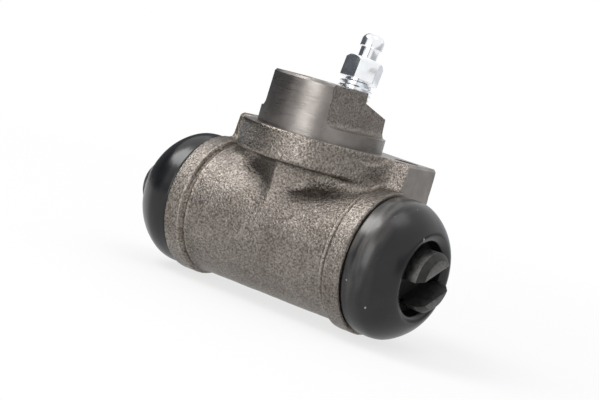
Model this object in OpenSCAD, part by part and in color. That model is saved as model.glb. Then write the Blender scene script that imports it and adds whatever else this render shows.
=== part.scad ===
// Double-piston wheel cylinder of a drum brake.
// The origin lies on the pilot's axis in the plane of the mounting face.
// X runs along the bore, Z along the pilot, away from the barrel.

/* [Barrel] */
// Distance from the mounting face down to the bore's axis
axis_drop = 22.2; // [21:0.1:27]
// Length of the casting between the faces of its end collars
body_len = 48.9; // [47:0.1:60]
// Diameter of the cast barrel between the collars
barrel_d = 30; // [28:0.1:31]
// Diameter of the end collars
collar_d = 32; // [31.5:0.1:35]
// Width of each end collar
collar_w = 4; // [2:0.1:6]
// Length of the slope between barrel and collar
collar_slope = 0.7; // [0.3:0.1:1.5]
// Diameter of the bore
bore_d = 19.05; // [18:0.05:20.6]
// Chamfer at each mouth of the bore
bore_chamfer = 0.6; // [0.2:0.1:1]

/* [Boot seat] */
// Diameter of the spigot that carries a boot
spigot_d = 27; // [25.5:0.1:28]
// Length of the spigot beyond the collar
spigot_len = 3.6; // [3.2:0.1:5]
// Depth of the spigot's groove
groove_depth = 0.8; // [0.5:0.1:1]
// Width of the spigot's groove
groove_w = 1.4; // [0.8:0.1:1.6]

/* [Flange] */
// Diameter of the round mounting flange
flange_d = 34.9; // [34:0.1:42]
// Thickness of the round mounting flange
flange_t = 6.5; // [4:0.1:7]
// Rounding of the flange's rim
flange_round = 0.8; // [0.3:0.1:1.5]
// Width of the six-sided pedestal under the flange across its front and rear ridges
pedestal_d = 26.4; // [22:0.1:28]
// Length of the lug bar along the barrel
lug_len = 47.2; // [46:0.1:48.5]
// Width of the lug bar across the barrel
lug_w = 11.9; // [10:0.1:12.2]
// Distance of the lug bar's middle behind the pilot's axis
lug_y = 7.2; // [6.5:0.05:7.6]
// Rounding of the lug bar's rear corners
lug_round = 1; // [0.4:0.1:2]

/* [Bolt holes] */
// Distance between the two tapped holes
bolt_spacing = 38; // [36:0.1:39]
// Core diameter of the tapped holes
bolt_core_d = 5; // [4:0.1:6]
// Depth of the tapped holes
bolt_depth = 8.5; // [6:0.1:10]
// Countersink at the mouth of each tapped hole
bolt_csk = 0.5; // [0.2:0.1:0.8]

/* [Boss] */
// Diameter of the turned pilot ring and boss
pilot_d = 28.7; // [28.4:0.05:31]
// Height of the pilot ring above the mounting face
pilot_h = 3.15; // [2:0.05:4.5]
// Height of the boss above the mounting face
boss_h = 12.2; // [11:0.1:15]
// Distance between the boss's two flats at their tops
flats_af = 16.3; // [14:0.1:20]
// Draft of the cast flats
flats_draft = 2; // [0:0.1:4]
// Fillet at the foot of the flats
flats_fillet = 1.6; // [0.5:0.1:2.5]
// Chamfer of the boss's top rim
boss_chamfer = 0.5; // [0.2:0.1:1]
// Distance of the rear step behind the pilot's axis
step_y = 0.45; // [0:0.05:1.5]
// Depth of the rear step
step_drop = 1.8; // [1:0.1:3]
// Slope of the rear face that carries the bleed screw
rear_slope = 15; // [8:0.5:18]

/* [Inlet port] */
// Distance of the inlet port in front of the pilot's axis
inlet_y = 6.6; // [6:0.1:7.5]
// Core diameter of the inlet port's thread
inlet_core_d = 9; // [7:0.1:9.5]
// Depth of the inlet port
inlet_depth = 10; // [7:0.1:11]
// Diameter of the drilled passage to the bore
passage_d = 3; // [2:0.1:3.4]

/* [Bleed screw] */
// Distance behind the pilot's axis at which the bleed screw enters the boss
bleed_y = 7.95; // [7.4:0.05:8]
// Lean of the bleed screw towards the rear
bleed_lean = 10; // [5:0.5:12]
// Outer diameter of the bleed screw's thread
bleed_thread_d = 7.9; // [6:0.1:8]
// Free length of thread between the boss and the hexagon
bleed_neck = 6.3; // [5:0.1:8]
// Depth of the thread in the boss
bleed_depth = 8.5; // [7:0.1:10]
// Hexagon across its flats
bleed_hex_af = 8; // [7:0.1:8.2]
// Height of the hexagon
bleed_hex_h = 3.95; // [3:0.05:5]
// Turn of the hexagon about the screw's axis
bleed_hex_turn = 48; // [0:1:59]
// Diameter of the hose nipple's stem
nipple_d = 4.5; // [3.8:0.1:5]
// Diameter of the hose nipple's barb
nipple_barb_d = 5.2; // [5.1:0.1:6]
// Height of the hose nipple above the hexagon
nipple_h = 7; // [6:0.1:9]
// Diameter of the drilled way through the bleed screw
bleed_bore_d = 1.8; // [1:0.1:2.2]

/* [Pistons] */
// Length of the right piston's tip beyond the collar
piston_reach = 13.8; // [13.4:0.1:17]
// How much further the left piston stands out at rest
left_shift = 2.1; // [0:0.1:2.3]
// Inner end of the right piston from the middle of the bore
piston_in = 14; // [13:0.1:15]
// Diameter of the pistons' outer heads
head_d = 13.3; // [12.6:0.1:14]
// Width of the slot for the shoe's web
slot_w = 5.9; // [4:0.1:6.5]
// Depth of the slot for the shoe's web
slot_depth = 6; // [4:0.1:7]
// Turn of the right piston's slot about the bore's axis
right_slot_turn = 26; // [0:1:89]
// Turn of the left piston's slot about the bore's axis
left_slot_turn = 75; // [0:1:89]
// Chamfer of the pistons' tips
head_chamfer = 0.7; // [0.3:0.1:1]
// Diameter of the neck that the boot grips
neck_d = 11.2; // [9:0.1:11.4]
// Width of the neck that the boot grips
neck_w = 2; // [1.6:0.1:2.4]

/* [Boots] */
// Outer diameter of each boot's band
boot_d = 31; // [30:0.1:31.4]
// Length of the right boot beyond the collar
boot_len = 11.35; // [10.8:0.05:12]
// Length of each boot's band before its dome
boot_band = 4; // [3.7:0.1:5]
// Depth of the crease between each boot's band and dome
boot_crease = 0.1; // [0.05:0.05:0.4]
// Diameter of the rim round each boot's mouth
boot_rim_d = 18.6; // [17.8:0.1:19.5]
// Share of the left piston's shift that its boot's dome follows
boot_follow = 0.2; // [0.1:0.05:0.6]
// Fullness of each boot's dome, 2 being a round one
boot_fullness = 1.5; // [1.3:0.05:2]
// Wall of the boots
boot_wall = 1.5; // [1.2:0.1:1.8]

/* [Seals and spring] */
// Length of each cup seal
cup_len = 5.6; // [4.5:0.1:6]
// Thickness of each cup seal's back
cup_back = 2; // [1.5:0.1:2.5]
// Thickness of the sheet of the cup expanders
expander_t = 0.5; // [0.3:0.05:0.7]
// Diameter of the spring's wire
wire_d = 1.1; // [0.8:0.05:1.3]
// Mean diameter of the spring's coils
coil_d = 8.6; // [7.5:0.1:9]
// Number of the spring's turns
coil_turns = 6; // [4:0.5:7]

/* [Fits] */
// Radial clearance of pistons and seals in the bore
piston_clear = 0.035; // [0.02:0.005:0.06]
// Radial clearance of the bleed screw's thread
thread_clear = 0.05; // [0.03:0.01:0.1]
// Clearance of the rubber and spring seats
seat_clear = 0.1; // [0.05:0.01:0.15]

/* [Hidden] */
$fn = 96;
over = 1;                                   // overrun of a cutting tool
arc_steps = 4;                              // straight stretches in a small rounding
dome_steps = 10;                            // straight stretches in a boot's dome

half_len = body_len / 2;                    // middle of the bore to a collar's face
bore_r = bore_d / 2;
collar_r = collar_d / 2;
spigot_r = spigot_d / 2;
groove_r = spigot_r - groove_depth;
groove_from = (spigot_len - groove_w) / 2;  // start of the groove beyond the collar
edge_break = 0.4;                           // small chamfer on turned edges

pilot_r = pilot_d / 2;
boss_relief = 0.1;                          // the boss stands back from the pilot
boss_taper = 0.2;                           // and narrows towards its top
boss_foot_r = pilot_r - boss_relief;
boss_top_r = boss_foot_r - boss_taper;
flats_top = flats_af / 2;
flats_foot = flats_top + (boss_h - pilot_h) * tan(flats_draft);
step_z = boss_h - step_drop;
lug_end = lug_len / 2;                      // middle of the bore to a lug's end
lug_front = lug_y - lug_w / 2;
lug_back = lug_y + lug_w / 2;
lug_foot = sqrt(pow(barrel_d / 2, 2) - pow(min(lug_back, barrel_d / 2 - over), 2)) - over;

bleed_z = step_z - (bleed_y - step_y) * tan(rear_slope);
bleed_r = bleed_thread_d / 2;
bleed_hole_r = bleed_r + thread_clear;
bleed_shank = 1;                            // the plain pin stands back from the thread
bleed_seat_r = bleed_r - bleed_shank;
bleed_tip_r = 1.2;                          // flat end of the seat's cone
bleed_pin = 2;                              // length of the plain pin
bleed_cone = bleed_seat_r - bleed_tip_r;    // length of the 45 degree cone
bleed_reach = axis_drop + bleed_z;          // length of the drill's way to the bore
relief = 0.7;                               // thread run-out below the hexagon
barb_len = 2.3;                             // length of the nipple's barb
hex_r = bleed_hex_af / 2 / cos(30);

piston_r = bore_r - piston_clear;
piston_tip = half_len + piston_reach;
boot_mouth = 2.2;                           // depth of the right boot's mouth
boot_lip_out = boot_len - boot_mouth;       // outer side of the right boot's lip beyond the collar
boot_lip_in = boot_lip_out - neck_w + 2 * seat_clear;
mouth_gap = 1.2;                            // gap between a boot's mouth and the piston's head
neck_r = neck_d / 2;
full_len = 2.4;                             // full piston diameter beyond the collar
shoulder = half_len + full_len;
neck_in = half_len + boot_lip_in - seat_clear;
neck_out = half_len + boot_lip_out + seat_clear;

cup_in = piston_in - cup_len;               // open end of a cup from the middle of the bore
cup_floor = piston_in - cup_back;
cup_lip_r = bore_r - piston_clear;
cup_root = 2.6;                             // thickness at the root of the cup's lip
cup_rim = 1.5;                              // thickness at the end of the cup's lip
cup_hollow_r = bore_r - cup_root;
cup_mouth_r = bore_r - cup_rim;
expander_r = cup_hollow_r - seat_clear;
expander_set = 0.8;                         // an expander stands back from the cup's end
expander_in = cup_in + expander_set;
cup_flare = (cup_mouth_r - cup_hollow_r) / (cup_floor - cup_in);
expander_mouth_r = expander_r + (cup_floor - expander_in) * cup_flare;
expander_floor = cup_floor - expander_t;
spring_end = expander_floor - seat_clear;

iron = [0.46, 0.43, 0.40];
anodised = [0.20, 0.20, 0.20];
zinc = [0.80, 0.82, 0.84];
spring_steel = [0.55, 0.55, 0.56];
black_rubber = [0.06, 0.06, 0.06];

function arc(c, r, from, to, steps) =
    [for (i = [0:steps]) let (a = from + (to - from) * i / steps) c + r * [cos(a), sin(a)]];
function backwards(p) = [for (i = [len(p) - 1:-1:0]) p[i]];
function both_ends(p) = concat(p, [for (q = backwards(p)) [q.x, -q.y]]);

// Places a shape, drawn round Z, round the bore's axis
module on_bore() {
    translate([0, 0, -axis_drop]) rotate([0, 90, 0]) children();
}

// Turns an outline of radius and distance about the bore's axis
module turned(outline) {
    on_bore() rotate_extrude() polygon(outline);
}

module other_end() {
    mirror([1, 0, 0]) children();
}

// The left piston and its seal stand further out than the right ones
module left_end() {
    other_end() translate([left_shift, 0, 0]) children();
}

// Places a shape, drawn round Z, round the bleed screw's axis
module on_bleed() {
    translate([0, bleed_y, bleed_z]) rotate([-bleed_lean, 0, 0]) children();
}

// Outline from the middle of the barrel to the end of a spigot
half_barrel = [
    [barrel_d / 2, 0],
    [barrel_d / 2, half_len - collar_w - collar_slope],
    [collar_r, half_len - collar_w],
    [collar_r, half_len - edge_break],
    [collar_r - edge_break, half_len],
    [spigot_r, half_len],
    [spigot_r, half_len + groove_from],
    [groove_r, half_len + groove_from],
    [groove_r, half_len + groove_from + groove_w],
    [spigot_r, half_len + groove_from + groove_w],
    [spigot_r, half_len + spigot_len - edge_break],
    [spigot_r - edge_break, half_len + spigot_len],
    [0, half_len + spigot_len]
];

module barrel() {
    turned(both_ends(half_barrel));
}

module pedestal() {
    translate([0, 0, -axis_drop]) rotate(90)
        cylinder(d = pedestal_d, h = axis_drop - flange_t / 2, $fn = 6);
}

module flange() {
    inner = flange_d / 2 - flange_round;
    rotate_extrude() polygon(concat(
        [[0, 0], [0, -flange_t]],
        arc([inner, flange_round - flange_t], flange_round, -90, 0, arc_steps),
        arc([inner, -flange_round], flange_round, 0, 90, arc_steps)
    ));
}

module lug_bar() {
    corner = lug_end - lug_round;
    translate([0, 0, lug_foot - axis_drop]) linear_extrude(axis_drop - lug_foot) polygon(concat(
        [[-lug_end, lug_front], [lug_end, lug_front]],
        arc([corner, lug_back - lug_round], lug_round, 0, 90, arc_steps),
        arc([-corner, lug_back - lug_round], lug_round, 90, 180, arc_steps)
    ));
}

// The two flats with their draft, and the fillets at their feet
module flats_outline() {
    foot = flats_foot + flats_fillet;
    polygon(concat(
        [[flats_top, boss_h + over]],
        arc([foot, pilot_h + flats_fillet], flats_fillet, 180 + flats_draft, 270, arc_steps),
        [[foot, 0], [-foot, 0]],
        arc([-foot, pilot_h + flats_fillet], flats_fillet, 270, 360 - flats_draft, arc_steps),
        [[-flats_top, boss_h + over]]
    ));
}

module boss() {
    cylinder(r = pilot_r, h = pilot_h);
    difference() {
        intersection() {
            rotate_extrude() polygon([
                [0, -over],
                [boss_foot_r, -over],
                [boss_foot_r, pilot_h],
                [boss_top_r, boss_h - boss_chamfer],
                [boss_top_r - boss_chamfer, boss_h],
                [0, boss_h]
            ]);
            rotate([90, 0, 0]) linear_extrude(2 * pilot_d, center = true) flats_outline();
        }
        rear_cut();
    }
}

// Takes the rear of the boss down to a step and a sloping face
module rear_cut() {
    far = pilot_d;
    translate([-far, 0, 0]) rotate([90, 0, 90]) linear_extrude(2 * far) polygon([
        [step_y, boss_h + over],
        [step_y, step_z],
        [step_y + far, step_z - far * tan(rear_slope)],
        [step_y + far, boss_h + over]
    ]);
}

module bore() {
    mouth = half_len + spigot_len;
    turned(both_ends([
        [bore_r, 0],
        [bore_r, mouth - bore_chamfer],
        [bore_r + bore_chamfer + over, mouth + over],
        [0, mouth + over]
    ]));
}

module inlet() {
    translate([0, -inlet_y, boss_h]) {
        translate([0, 0, -inlet_depth]) cylinder(d = inlet_core_d, h = inlet_depth + over);
        translate([0, 0, -edge_break])
            cylinder(d1 = inlet_core_d, d2 = inlet_core_d + 4 * edge_break, h = 2 * edge_break);
        translate([0, 0, -boss_h - axis_drop])
            cylinder(d = passage_d, h = boss_h + axis_drop - inlet_depth + over);
    }
}

module bleed_hole() {
    on_bleed() {
        rotate_extrude() polygon([
            [0, over + 2 * edge_break],
            [bleed_hole_r + over + 2 * edge_break, over + 2 * edge_break],
            [bleed_hole_r, -edge_break],
            [bleed_hole_r, -bleed_depth],
            [bleed_seat_r + thread_clear, -bleed_depth],
            [bleed_seat_r + thread_clear, -bleed_depth - bleed_pin],
            [bleed_tip_r + thread_clear, -bleed_depth - bleed_pin - bleed_cone],
            [bleed_tip_r, -bleed_reach],
            [0, -bleed_reach]
        ]);
    }
}

module bolt_hole() {
    translate([0, 0, -bolt_depth]) cylinder(d = bolt_core_d, h = bolt_depth + over);
    translate([0, 0, -bolt_csk])
        cylinder(d1 = bolt_core_d, d2 = bolt_core_d + 4 * bolt_csk, h = 2 * bolt_csk);
}

module cylinder_body() {
    color(iron) difference() {
        union() {
            barrel();
            pedestal();
            flange();
            lug_bar();
            boss();
        }
        bore();
        inlet();
        bleed_hole();
        for (side = [-1, 1]) translate([side * bolt_spacing / 2, lug_y, 0]) bolt_hole();
    }
}

module piston(slot_turn) {
    on_bore() difference() {
        rotate_extrude() polygon([
            [0, piston_in],
            [piston_r - edge_break, piston_in],
            [piston_r, piston_in + edge_break],
            [piston_r, shoulder - edge_break],
            [piston_r - edge_break, shoulder],
            [neck_r + edge_break, neck_in],
            [neck_r, neck_in],
            [neck_r, neck_out],
            [head_d / 2, neck_out],
            [head_d / 2, piston_tip - head_chamfer],
            [head_d / 2 - head_chamfer, piston_tip],
            [0, piston_tip]
        ]);
        rotate([0, 0, 90 + slot_turn]) translate([-head_d, -slot_w / 2, piston_tip - slot_depth])
            cube([2 * head_d, slot_w, slot_depth + over]);
    }
}

module right_piston() {
    color(anodised) piston(right_slot_turn);
}

module left_piston() {
    color(anodised) left_end() piston(left_slot_turn);
}

module cup_seal() {
    lip = 0.4;
    turned([
        [0, piston_in],
        [cup_lip_r - lip, piston_in],
        [cup_lip_r - lip, cup_floor],
        [cup_lip_r, cup_in + lip],
        [cup_lip_r - lip, cup_in],
        [cup_mouth_r, cup_in],
        [cup_hollow_r, cup_floor],
        [0, cup_floor]
    ]);
}

module right_cup_seal() {
    color(black_rubber) cup_seal();
}

module left_cup_seal() {
    color(black_rubber) left_end() cup_seal();
}

module cup_expander() {
    turned([
        [0, cup_floor],
        [expander_r, cup_floor],
        [expander_mouth_r, expander_in],
        [expander_mouth_r - expander_t, expander_in],
        [expander_r - expander_t, expander_floor],
        [0, expander_floor]
    ]);
}

module right_cup_expander() {
    color(spring_steel) cup_expander();
}

module left_cup_expander() {
    color(spring_steel) left_end() cup_expander();
}

// Coil wound along the bore, with a closed turn at each end
module return_spring() {
    sides = 8;
    ring_count = 20 * coil_turns;
    wire_r = wire_d / 2;
    first = wire_r - spring_end - left_shift;
    pull = 2 * spring_end + left_shift - wire_d;
    closed = 1 / coil_turns;
    function lead(t) = t < closed ? wire_d * t / closed
        : t > 1 - closed ? pull - wire_d * (1 - t) / closed
        : wire_d + (pull - 2 * wire_d) * (t - closed) / (1 - 2 * closed);
    function ring(t) = [for (j = [0:sides - 1])
        let (a = 360 * coil_turns * t, b = 360 * j / sides, r = coil_d / 2 + wire_r * cos(b))
        [first + lead(t) + wire_r * sin(b), r * cos(a), r * sin(a) - axis_drop]];
    points = [for (i = [0:ring_count]) each ring(i / ring_count)];
    walls = [for (i = [0:ring_count - 1]) for (j = [0:sides - 1])
        let (k = (j + 1) % sides)
        [i * sides + j, i * sides + k, (i + 1) * sides + k, (i + 1) * sides + j]];
    first_cap = [for (j = [sides - 1:-1:0]) j];
    last_cap = [for (j = [0:sides - 1]) ring_count * sides + j];
    color(spring_steel) polyhedron(points, concat(walls, [first_cap, last_cap]));
}

// Outline of a boot from its base, over the dome and down its mouth to the lip on the piston's neck
module boot(shift) {
    stretch = shift * boot_follow;
    base = half_len + seat_clear;
    hold_r = spigot_r + seat_clear;
    band_r = boot_d / 2;
    dome_r = band_r - boot_crease / 2;
    inside_r = max(dome_r - boot_wall, hold_r + 2 * seat_clear);
    dome_from = half_len + boot_band;
    dome_len = boot_len + stretch - boot_band;
    rim_r = boot_rim_d / 2;
    bead_r = groove_r + seat_clear;
    bead_in = half_len + groove_from + seat_clear;
    bead_out = half_len + groove_from + groove_w - seat_clear;
    spigot_out = half_len + spigot_len + seat_clear;
    mouth_r = head_d / 2 + mouth_gap;
    throat_r = head_d / 2 + 3 * seat_clear;
    lip_r = neck_r + seat_clear;
    mouth = half_len + boot_len + stretch;
    lip_out = half_len + boot_lip_out + shift;
    lip_in = half_len + boot_lip_in + shift;
    function dome(a, r, length) = [rim_r + (r - rim_r) * pow(cos(a), 2 / boot_fullness),
        dome_from + length * pow(sin(a), 2 / boot_fullness)];
    turned(concat(
        [[hold_r, base], [band_r - edge_break, base], [band_r, base + edge_break]],
        [[band_r, dome_from - 4 * boot_crease], [band_r - boot_crease, dome_from - 2 * boot_crease]],
        [for (i = [0:dome_steps]) dome(90 * i / dome_steps, dome_r, dome_len)],
        [[mouth_r + edge_break, mouth], [mouth_r, mouth - edge_break], [throat_r, lip_out + edge_break]],
        [[throat_r, lip_out], [lip_r, lip_out], [lip_r, lip_in], [throat_r + boot_wall, lip_in]],
        [for (i = [dome_steps - 1:-1:0]) dome(90 * i / dome_steps, inside_r, dome_len - boot_wall)],
        [[inside_r, spigot_out], [hold_r, spigot_out]],
        [[hold_r, bead_out], [bead_r, bead_out], [bead_r, bead_in], [hold_r, bead_in]]
    ));
}

module right_boot() {
    color(black_rubber) boot(0);
}

module left_boot() {
    color(black_rubber) other_end() boot(left_shift);
}

module bleed_screw() {
    hex_top = bleed_neck + bleed_hex_h;
    tip = hex_top + nipple_h;
    barb = tip - barb_len;
    bevel = hex_r - bleed_hex_af / 2;
    cross_way = -bleed_depth - bleed_pin / 2;
    color(zinc) on_bleed() difference() {
        union() {
            rotate_extrude() polygon([
                [0, thread_clear - bleed_depth - bleed_pin - bleed_cone],
                [bleed_tip_r, thread_clear - bleed_depth - bleed_pin - bleed_cone],
                [bleed_seat_r, thread_clear - bleed_depth - bleed_pin],
                [bleed_seat_r, thread_clear - bleed_depth],
                [bleed_r - edge_break, thread_clear - bleed_depth],
                [bleed_r, thread_clear - bleed_depth + edge_break],
                [bleed_r, bleed_neck - relief - edge_break],
                [bleed_seat_r, bleed_neck - relief],
                [bleed_seat_r, hex_top],
                [nipple_d / 2, hex_top],
                [nipple_d / 2, barb],
                [nipple_barb_d / 2, barb],
                [nipple_barb_d / 2, barb + barb_len / 3],
                [nipple_d / 2 - edge_break, tip],
                [0, tip]
            ]);
            intersection() {
                translate([0, 0, bleed_neck]) rotate([0, 0, bleed_hex_turn])
                    cylinder(r = hex_r, h = bleed_hex_h, $fn = 6);
                rotate_extrude() polygon([
                    [0, bleed_neck],
                    [bleed_hex_af / 2, bleed_neck],
                    [hex_r, bleed_neck + bevel / 2],
                    [hex_r, hex_top - bevel / 2],
                    [bleed_hex_af / 2, hex_top],
                    [0, hex_top]
                ]);
            }
        }
        translate([0, 0, cross_way]) cylinder(d = bleed_bore_d, h = tip - cross_way + over);
        translate([0, 0, cross_way]) rotate([0, 90, 0])
            cylinder(d = bleed_bore_d, h = 2 * bleed_thread_d, center = true);
    }
}

cylinder_body();
right_piston();
left_piston();
right_cup_seal();
left_cup_seal();
right_cup_expander();
left_cup_expander();
return_spring();
right_boot();
left_boot();
bleed_screw();
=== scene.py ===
import math
import bmesh
import bpy
import numpy as np
from mathutils import Matrix, Vector, noise


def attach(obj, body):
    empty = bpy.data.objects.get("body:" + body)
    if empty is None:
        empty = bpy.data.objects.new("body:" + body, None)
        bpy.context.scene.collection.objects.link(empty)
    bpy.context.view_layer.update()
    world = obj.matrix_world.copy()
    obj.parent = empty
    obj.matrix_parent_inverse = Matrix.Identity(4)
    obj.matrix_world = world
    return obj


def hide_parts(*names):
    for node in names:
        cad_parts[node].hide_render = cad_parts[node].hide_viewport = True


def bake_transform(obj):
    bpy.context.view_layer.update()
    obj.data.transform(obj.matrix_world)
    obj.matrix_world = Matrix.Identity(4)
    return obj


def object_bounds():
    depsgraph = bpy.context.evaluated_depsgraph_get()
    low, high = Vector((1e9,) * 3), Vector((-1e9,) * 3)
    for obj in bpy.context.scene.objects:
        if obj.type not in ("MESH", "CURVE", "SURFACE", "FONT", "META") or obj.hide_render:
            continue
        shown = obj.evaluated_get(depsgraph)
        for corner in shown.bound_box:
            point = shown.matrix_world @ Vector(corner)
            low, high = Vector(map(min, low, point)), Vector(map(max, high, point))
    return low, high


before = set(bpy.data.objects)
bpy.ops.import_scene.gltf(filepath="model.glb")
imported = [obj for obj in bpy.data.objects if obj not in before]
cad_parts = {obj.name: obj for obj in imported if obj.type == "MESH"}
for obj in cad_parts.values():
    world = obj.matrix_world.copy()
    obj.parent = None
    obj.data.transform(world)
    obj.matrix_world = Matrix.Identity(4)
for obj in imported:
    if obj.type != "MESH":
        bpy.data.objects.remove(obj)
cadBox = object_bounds()
print("frame loaded,", len(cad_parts), "nodes")

# all shapes are drawn in millimetres and shrunk to metres by placePiece
boreZ = -22.2  # height of the bore's axis below the mounting face
halfBody = 24.45  # middle of the bore to a collar's machined face
boreRadius = 9.525
leftShift = 2.1  # how much further the left piston stands out
alongBore = Matrix.Translation((0, 0, boreZ)) @ Matrix.Rotation(math.pi / 2, 4, "Y")  # local Z runs along +X
otherEnd = Matrix.Scale(-1, 4, (1, 0, 0))
bothEnds = (alongBore, otherEnd @ alongBore)
alongX = Matrix(((0, 0, 1, 0), (1, 0, 0, 0), (0, 1, 0, 0), (0, 0, 0, 1)))  # outline in Y and Z, pushed along X
alongY = Matrix.Rotation(math.pi / 2, 4, "X")  # outline in X and Z, pushed along Y


# small helpers

def turned(outline, place, steps=96):  # outline of (radius, along) spun round local Z
    bm = bmesh.new()
    verts = [bm.verts.new((radius, 0, along)) for radius, along in outline]
    edges = [bm.edges.new(pair) for pair in zip(verts, verts[1:])]
    bmesh.ops.spin(bm, geom=verts + edges, cent=(0, 0, 0), axis=(0, 0, 1), angle=2 * math.pi, steps=steps, use_merge=True)
    bmesh.ops.remove_doubles(bm, verts=bm.verts, dist=1e-4)
    bmesh.ops.transform(bm, matrix=place, verts=bm.verts)
    bmesh.ops.recalc_face_normals(bm, faces=bm.faces)
    return bm


def prism(outline, depth, place):  # flat outline pushed both ways along local Z
    bm = bmesh.new()
    face = bm.faces.new([bm.verts.new((x, y, -depth / 2)) for x, y in outline])
    pushed = bmesh.ops.extrude_face_region(bm, geom=[face])["geom"]
    bmesh.ops.translate(bm, vec=(0, 0, depth), verts=[v for v in pushed if isinstance(v, bmesh.types.BMVert)])
    bmesh.ops.transform(bm, matrix=place, verts=bm.verts)
    bmesh.ops.recalc_face_normals(bm, faces=bm.faces)
    return bm


def roundBar(radius, depth, segments, place):  # closed upright cylinder, or a prism with few segments
    bm = bmesh.new()
    bmesh.ops.create_cone(bm, cap_ends=True, segments=segments, radius1=radius, radius2=radius, depth=depth, matrix=place)
    return bm


def arcPoints(centre, radius, start, stop, steps):
    angles = [math.radians(start + (stop - start) * i / steps) for i in range(steps + 1)]
    return [(centre[0] + radius * math.cos(a), centre[1] + radius * math.sin(a)) for a in angles]


def asObject(bm, name, materials, index=0):
    for face in bm.faces:
        face.material_index = index
    mesh = bpy.data.meshes.new(name)
    bm.to_mesh(mesh)
    bm.free()
    for material in materials:
        mesh.materials.append(material)
    obj = bpy.data.objects.new(name, mesh)
    bpy.context.scene.collection.objects.link(obj)
    return obj


def bakeModifiers(obj):
    graph = bpy.context.evaluated_depsgraph_get()
    mesh = bpy.data.meshes.new_from_object(obj.evaluated_get(graph))
    obj.modifiers.clear()
    obj.data = mesh


def combine(obj, tool, operation, weld=5e-4):  # boolean, then the tool is thrown away and slivers are welded
    step = obj.modifiers.new(operation.lower(), "BOOLEAN")
    step.object = tool
    step.operation = operation
    step.solver = "EXACT"
    step.material_mode = "TRANSFER"
    bakeModifiers(obj)
    bpy.data.objects.remove(tool)
    bm = bmesh.new()
    bm.from_mesh(obj.data)
    bmesh.ops.remove_doubles(bm, verts=bm.verts, dist=weld)
    bmesh.ops.dissolve_degenerate(bm, edges=bm.edges, dist=weld)
    bm.to_mesh(obj.data)
    bm.free()


def softenEdges(obj, width, segments, angle):
    step = obj.modifiers.new("soft edges", "BEVEL")
    step.width = width
    step.segments = segments
    step.limit_method = "ANGLE"
    step.angle_limit = math.radians(angle)
    bakeModifiers(obj)


def placePiece(obj, body, slot, *nodes, smooth=35):
    obj.data.transform(Matrix.Scale(0.001, 4))
    obj.data.shade_smooth()
    obj.data.set_sharp_from_angle(angle=math.radians(smooth))
    if body:
        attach(obj, body)
    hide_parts(*nodes)
    print(obj.name, "done,", sum(len(p.vertices) - 2 for p in obj.data.polygons), "triangles")


# materials, on Object coordinates in metres

def newMaterial(name, **sockets):
    material = bpy.data.materials.new(name)
    material.use_nodes = True
    shader = material.node_tree.nodes["Principled BSDF"]
    for socket, value in sockets.items():
        shader.inputs[socket.replace("_", " ")].default_value = value
    return material, material.node_tree, shader


def noiseNode(tree, scale, detail, stretch=(1, 1, 1), roughness=0.5):
    place = tree.nodes.new("ShaderNodeTexCoord")
    mapping = tree.nodes.new("ShaderNodeMapping")
    mapping.inputs["Scale"].default_value = stretch
    pattern = tree.nodes.new("ShaderNodeTexNoise")
    pattern.inputs["Scale"].default_value = scale
    pattern.inputs["Detail"].default_value = detail
    pattern.inputs["Roughness"].default_value = roughness
    tree.links.new(place.outputs["Object"], mapping.inputs["Vector"])
    tree.links.new(mapping.outputs["Vector"], pattern.inputs["Vector"])
    return pattern.outputs["Fac"]


def axesNode(tree):  # the object's own X, Y and Z
    split = tree.nodes.new("ShaderNodeSeparateXYZ")
    tree.links.new(tree.nodes.new("ShaderNodeTexCoord").outputs["Object"], split.inputs["Vector"])
    return [split.outputs[axis] for axis in "XYZ"]


def rampNode(tree, source, stops):
    ramp = tree.nodes.new("ShaderNodeValToRGB")
    while len(ramp.color_ramp.elements) < len(stops):
        ramp.color_ramp.elements.new(0.5)
    for element, (position, colour) in zip(ramp.color_ramp.elements, stops):
        element.position = position
        element.color = (*colour, 1)
    tree.links.new(source, ramp.inputs["Fac"])
    return ramp.outputs["Color"]


def rangeNode(tree, source, low, high, fromLow=0.3, fromHigh=0.7):
    node = tree.nodes.new("ShaderNodeMapRange")
    node.inputs["From Min"].default_value = fromLow
    node.inputs["From Max"].default_value = fromHigh
    node.inputs["To Min"].default_value = low
    node.inputs["To Max"].default_value = high
    tree.links.new(source, node.inputs["Value"])
    return node.outputs["Result"]


def mathNode(tree, operation, a, b):
    node = tree.nodes.new("ShaderNodeMath")
    node.operation = operation
    for socket, value in zip(node.inputs, (a, b)):
        if isinstance(value, (int, float)):
            socket.default_value = value
        else:
            tree.links.new(value, socket)
    return node.outputs["Value"]


def tintNode(tree, mode, factor, a, b):  # mixes two colours
    node = tree.nodes.new("ShaderNodeMix")
    node.data_type = "RGBA"
    node.blend_type = mode
    for name, value in (("Factor_Float", factor), ("A_Color", a), ("B_Color", b)):
        socket = next(s for s in node.inputs if s.identifier == name)
        if isinstance(value, (int, float)):
            socket.default_value = value
        elif isinstance(value, tuple):
            socket.default_value = (*value, 1)
        else:
            tree.links.new(value, socket)
    return next(s for s in node.outputs if s.identifier == "Result_Color")


def bumpNode(tree, shader, height, strength, distance):
    node = tree.nodes.new("ShaderNodeBump")
    node.inputs["Strength"].default_value = strength
    node.inputs["Distance"].default_value = distance
    tree.links.new(height, node.inputs["Height"])
    tree.links.new(node.outputs["Normal"], shader.inputs["Normal"])


def twoTones(tree, source, look):
    return rampNode(tree, source, [(0.5 - look["spread"], look["dark"]), (0.5 + look["spread"], look["light"])])


def paint(tree, shader, look, stain, wear):  # colour from one pattern, roughness from another
    tree.links.new(twoTones(tree, stain, look), shader.inputs["Base Color"])
    tree.links.new(rangeNode(tree, wear, *look["rough"]), shader.inputs["Roughness"])


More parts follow.
